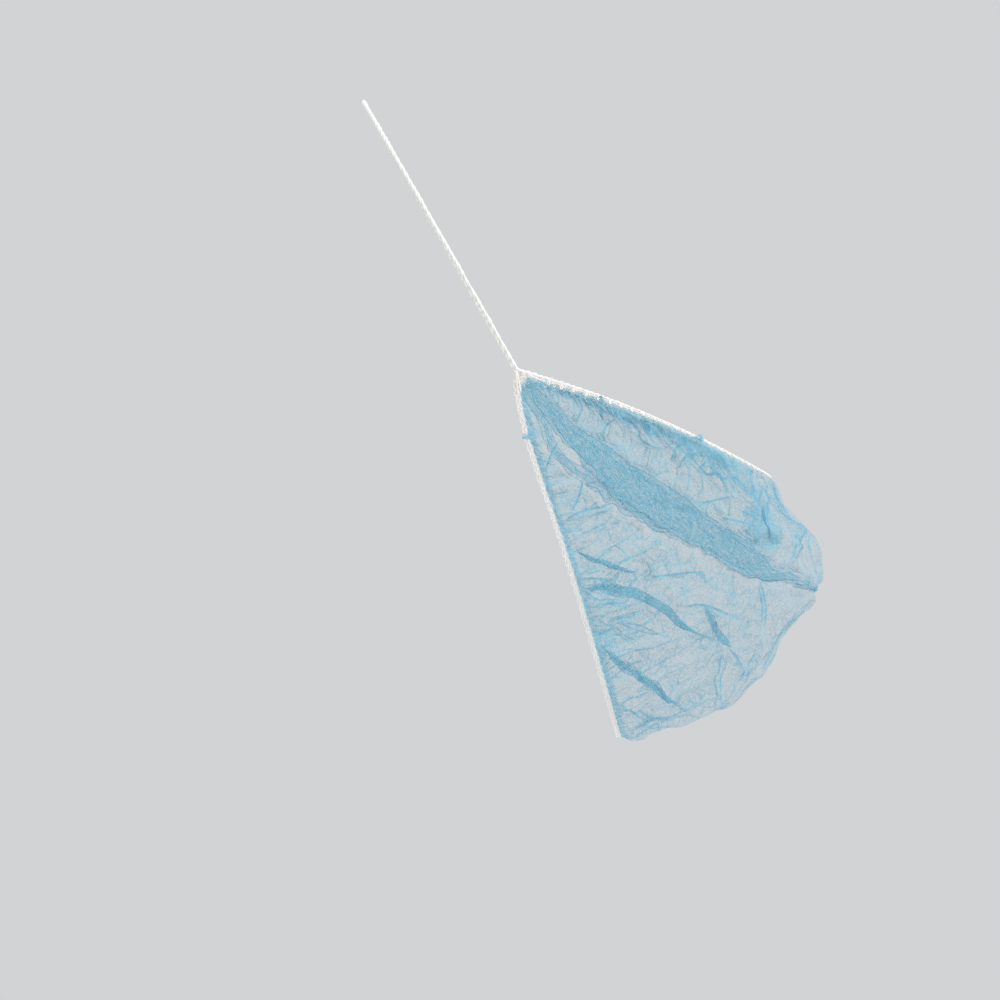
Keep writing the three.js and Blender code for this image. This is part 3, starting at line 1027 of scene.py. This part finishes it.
def strips_of(cloth, rng):
    """Extra layers in the strip of bunched cloth along each edge. The upper one is widest at the cheeks."""
    out = np.sin(cloth.turn)
    width = lerp(3.8, 6.0, smoothstep(out, 0.1, 0.4)) + 1.3 * wander(len(out), 70, rng)[:, None]
    upper = np.exp(-((cloth.from_edge["upper"] / (width * MM)) ** 6)) * (1 - smoothstep(out, 0.72, 0.92))
    lower = np.exp(-((cloth.from_edge["lower"] / LOWER_STRIP) ** 4))
    return LAYERS["upper strip"] * upper + LAYERS["lower strip"] * lower


def make_pouch():
    rng = np.random.default_rng(2024)
    turn, angle, offset, in_pleat = pleated_grid()
    row = row_of(turn, angle)
    smooth = cloth_point(turn, row)
    _, out_axis, _ = cloth_axes(turn, row)
    fold_lines = FoldLines(turn.shape)
    _, smooth_down = flat_place(smooth)
    from_rim = smooth_down[:, -1:] - np.abs(smooth_down)
    offset = offset - SETTLED_IN * smoothstep(from_rim, 0, 14 * MM)
    target, back = tucked(smooth + out_axis * offset[..., None], out_axis, turn, from_rim, fold_lines)
    along_cloth, down = flat_place(target)
    half = down[:, -1:]
    cloth = SimpleNamespace(turn=turn, angle=angle, in_pleat=in_pleat, along=along_cloth, down=down)
    cloth.from_edge = {"upper": down + half, "lower": half - down}
    cloth.room = 2 * half + 0 * down
    cloth.at_front = smoothstep(np.sin(turn), 0.75, 0.93)
    cloth.calm = smoothstep(half - np.abs(down), 0, 3 * MM) * smoothstep(cloth.room, 8 * MM, 50 * MM)

    relief, random_lines = relief_of(cloth, target, from_rim, fold_lines, rng)
    start = target + out_axis * relief[..., None]
    dense = np.maximum(*(lines.strength * bell(lines.away, 0.6 * MM) for lines in (fold_lines, random_lines)))
    loose = cloth.calm * (1 - 0.96 * in_pleat)
    ranges = [loose * STAND_OFF[key] + 0.1 * MM for key in ("inward", "outward", "sideways")]
    stiff = (1 - np.clip(1.5 * dense, 0, 1)) ** 2
    points = settled_cloth(start, start * 0.5 + target * 0.5, out_axis, ranges, stiff)

    strips = strips_of(cloth, rng)
    push, in_tuft = tufted(points, turn, *cloth.from_edge.values())
    points += push
    front_layer = in_pleat * (np.arange(down.shape[1]) < SEGMENT_ROWS[0])
    patchy = soft_noise(along_cloth / (2.5 * MM) + 90, down / (2.5 * MM) + 90, 17)
    patchy = back * smoothstep(patchy, 0.3, 0.7)
    layers = 1 + strips + LAYERS["tuft"] * in_tuft + LAYERS["tuck"] * patchy
    layers += LAYERS["pleat front"] * front_layer + LAYERS["pleat"] * in_pleat
    layers += bunches(target, turn) * (1 - in_pleat)

    nu, nv = points.shape[:2]
    index = np.arange(nu * nv).reshape(nu, nv)
    quads = np.stack([index[:-1, :-1], index[:-1, 1:], index[1:, 1:], index[1:, :-1]], axis=-1).reshape(-1, 4)
    pouch = make_object("pouch_cloth", points.reshape(-1, 3), quads, nonwoven_material())
    add_values(pouch, "flat", np.stack([along_cloth, down, 0 * down], axis=-1).reshape(-1, 3))
    add_values(pouch, "layers", layers.ravel())
    add_values(pouch, "pleated", np.maximum(front_layer, 0.45 * patchy).ravel())
    add_values(pouch, "fold_line", fold_lines.field(cloth.calm))
    add_values(pouch, "crease_line", random_lines.field(cloth.calm * (1 - 0.7 * in_pleat)))
    declare(pouch, "pouch")


# ---- the two edges: elastic, overlocked to the cloth ----
class EdgeLine:
    """Places points by their distance along an edge, out of the cloth and away from it."""

    def __init__(self, row, side):
        reach = REACH["reach"][0 if side < 0 else -1]
        turn = turn_at(np.arange(EDGE_STEPS + 1) / EDGE_STEPS, 0.3 * MM / reach)
        rows = np.full_like(turn, row)
        _, out, down = cloth_axes(turn, rows)
        room = 1.1 + 0.35 * bell(np.sin(turn) * reach, 10 * MM)
        self.points = cloth_point(turn, rows) + down * (side * room * MM)[:, None]
        self.tangent, self.out, self.away = unit(np.gradient(self.points, axis=0)), out, down * side
        self.at = summed(steps_of(self.points))
        self.length = self.at[-1]

    def look_up(self, values, at):
        return np.stack([np.interp(at, self.at, values[:, k]) for k in range(3)], axis=1)

    def place(self, at, out, away):
        at, out, away = np.broadcast_arrays(np.asarray(at, float), out, away)
        beyond = at - np.clip(at, 0, self.length)
        base = self.look_up(self.points, at) + self.look_up(self.tangent, at) * beyond[:, None]
        return base + self.look_up(self.out, at) * out[:, None] + self.look_up(self.away, at) * away[:, None]

    def near_ear(self, side, at, out, away):
        """One point at a distance from the right (side -1) or the left ear corner."""
        return self.place([at if side < 0 else self.length - at], out, away)[0]


def stitches(line, pitch, steps, rng):
    """Points along a row of stitches, with the phase of each in its stitch; the pitch varies a little."""
    count = int(line.length / pitch)
    share = np.arange(count * steps + 1) / (count * steps)
    drift = 0.4 * wander(len(share), max(8, count // 3), rng)
    return share * line.length, 2 * math.pi * (share * count + drift)


def swell(line, at):
    """How much larger the stitches are near the ears than at the front."""
    return lerp(1.1, 0.62, smoothstep(np.minimum(at, line.length - at), 12 * MM, 75 * MM))


def looped(line, rng, pitch, thread, centre, wide, tall, depth):
    """A thread that makes a small round loop on the cloth at each stitch."""
    at, phase = stitches(line, pitch, 18, rng)
    size = swell(line, at) * (1 + 0.15 * wander(len(at), len(at) // 18, rng))
    away = centre * size + tall * size * np.cos(phase)
    loops = line.place(at + wide * size * np.sin(phase), depth * np.sin(phase / 2), away)
    return swept(loops, thread * size**0.5, 6)


def whipped(line, rng, pitch, thread, high, low, depth):
    """One thread that winds round the edge: over the elastic, into the cloth and back."""
    at, phase = stitches(line, pitch, 12, rng)
    away = lerp(-low, high, 0.5 + 0.5 * np.cos(phase)) * (1 + 0.2 * wander(len(at), len(at) // 9, rng))
    out = depth * np.sin(phase) * (0.85 + 0.15 * wander(len(at), len(at) // 11, rng))
    return swept(line.place(at, out, away), thread * (1 + 0.12 * wander(len(at), len(at) // 6, rng)), 6)


def linked(line, rng, pitch, thread, spread, centre, depth):
    """Two strands that part and meet like the links of a chain."""
    at, phase = stitches(line, pitch, 14, rng)
    near_ear = np.exp(-np.minimum(at, line.length - at) / (30 * MM))
    wide = spread * lerp(0.6, 1.2, near_ear) * (1 + 0.2 * wander(len(at), len(at) // 14, rng))
    made = []
    for side in (-1, 1):
        away = centre + side * wide * np.sin(phase / 2)
        thickness = thread * lerp(0.55, 1.1, near_ear)
        made.append(swept(line.place(at, side * depth * np.cos(phase / 2), away), thickness, 6))
    return made


def corner_web(upper, lower, rng):
    """Threads at the ear corners that run from the head loop's end to both edges, and a few across them."""
    parts = []
    rise = unit(np.array([0, EAR_AHEAD, EAR_BELOW]))
    for side in (-1, 1):
        tip = np.array([side * EAR_ACROSS, -EAR_AHEAD, -EAR_BELOW]) + rise * 3.4 * MM
        outward = np.array([side, 0, 0])
        for line, count, furthest in ((upper, 9, 9 * MM), (lower, 8, 7 * MM)):
            for k in range(count):
                at = furthest * (k + 1 + rng.uniform(-0.2, 0.2)) / count
                end = line.near_ear(side, at, rng.uniform(-0.2, 0.5) * MM, rng.uniform(-1.4, 0.3) * MM)
                share = np.linspace(0, 1, 14)[:, None]
                bow = outward * rng.uniform(-0.3, 0.7) * MM + rise * rng.uniform(-0.4, 0.2) * MM
                path = lerp(tip + outward * rng.uniform(-0.35, 0.35) * MM, end, share)
                path += 4 * share * (1 - share) * bow
                parts.append(swept(path, CORNER_THREAD * rng.uniform(0.8, 1.2), 6))
        for _ in range(4):
            at = rng.uniform(1.2, 6.5) * MM
            starts = upper.near_ear(side, at, 0.3 * MM, -0.6 * MM)
            ends = lower.near_ear(side, at * rng.uniform(0.4, 1.4), 0.3 * MM, -0.3 * MM)
            share = np.linspace(0, 1, 12)[:, None]
            wave = outward * 0.25 * MM * np.sin(2 * math.pi * (share * 1.5 + rng.random()))
            parts.append(swept(lerp(starts, ends, share) + wave, CORNER_THREAD * 0.8, 6))
    return parts


def bumpy_band(line, rng, radius, at_ears, pitch, bump, out, away):
    """The covered elastic: a thick strand with a bump at each stitch, thicker near the ears."""
    at, phase = stitches(line, pitch, 8, rng)
    from_ear = np.minimum(at, line.length - at)
    thickness = lerp(radius, at_ears, np.exp(-from_ear / (7 * MM))) * (1 + bump * np.cos(phase))
    return swept(line.place(at, out, away), thickness, 10)


def make_edges():
    rng = np.random.default_rng(77)
    upper, lower = EdgeLine(0.0, -1), EdgeLine(1.0, 1)
    parts = [
        bumpy_band(upper, rng, radius=0.36 * MM, at_ears=0.85 * MM, pitch=2.5 * MM, bump=0.22,
                   out=0.1 * MM, away=0.20 * MM),
        bumpy_band(upper, rng, radius=0.30 * MM, at_ears=0.80 * MM, pitch=2.5 * MM, bump=0.25,
                   out=-0.1 * MM, away=-0.45 * MM),
        looped(upper, rng, pitch=2.5 * MM, thread=0.24 * MM, centre=-0.75 * MM, wide=0.85 * MM,
               tall=0.95 * MM, depth=0.55 * MM),
        looped(upper, rng, pitch=2.3 * MM, thread=0.20 * MM, centre=-0.15 * MM, wide=0.80 * MM,
               tall=0.95 * MM, depth=-0.60 * MM),
    ]
    strands = {"upper": parts + corner_web(upper, lower, rng)}
    strands["lower"] = linked(lower, rng, pitch=3.9 * MM, thread=0.25 * MM, spread=0.82 * MM,
                              centre=0.15 * MM, depth=0.30 * MM)
    strands["lower"].append(whipped(lower, rng, pitch=3.9 * MM, thread=0.10 * MM, high=-0.40 * MM,
                                    low=1.2 * MM, depth=0.40 * MM))
    # The darker colour given here is the edge yarn's painted shade, for the hollows between its filaments.
    material = thread_material("edge_yarn", (0.86, 0.855, 0.83, 1), 1100)
    for edge in ("upper", "lower"):
        piece = make_object(edge + "_edge_overlock", *joined(strands[edge]), material)
        declare(piece, edge + "_edge_elastic")


# ---- floor, sky and lights ----
def make_floor():
    """A pale floor under the object that fades into the backdrop all round."""
    look = Look("floor")
    distance = look.node("VectorMath", {0: look.place()}, "Value", operation="LENGTH")
    fade = look.ranged(distance, 0.5, 1.8, 1.0, 0.0, "SMOOTHSTEP")
    material = look.finished({"Base Color": (0.62, 0.62, 0.62, 1), "Roughness": 0.9, "Alpha": fade})
    corners = 2.0 * np.array([(-1, -1, 0), (1, -1, 0), (1, 1, 0), (-1, 1, 0)])
    floor = make_object("floor", corners, np.array([[0, 1, 2, 3]]), material)
    floor.location = (0, (cad_low.y + cad_high.y) / 2, cad_low.z - 0.17)


def make_world():
    world = bpy.data.worlds.new("world")
    world.use_nodes = True
    background = world.node_tree.nodes["Background"]
    background.inputs[0].default_value = (0.97, 0.985, 1.0, 1)
    background.inputs[1].default_value = 0.66
    bpy.context.scene.world = world
    bpy.context.scene.view_settings.view_transform = "Standard"


def make_light(name, place, size, power, colour=(1, 1, 1)):
    data = bpy.data.lights.new(name, "AREA")
    data.shape = "DISK"
    data.size = size
    data.energy = power
    data.color = colour
    light = bpy.data.objects.new(name, data)
    light.location = place
    centre = (cad_low + cad_high) / 2
    light.rotation_euler = (centre - Vector(place)).to_track_quat("-Z", "Y").to_euler()
    bpy.context.scene.collection.objects.link(light)


def make_lights():
    make_light("key", (-1.1, -1.0, 1.1), 0.9, 19, (1.0, 0.98, 0.95))
    make_light("rim", (0.9, -0.9, 0.7), 0.8, 9)
    make_light("back", (0.3, 1.4, 0.8), 0.9, 7)


make_head_loop()
make_edges()
make_pouch()
make_floor()
make_world()
make_lights()
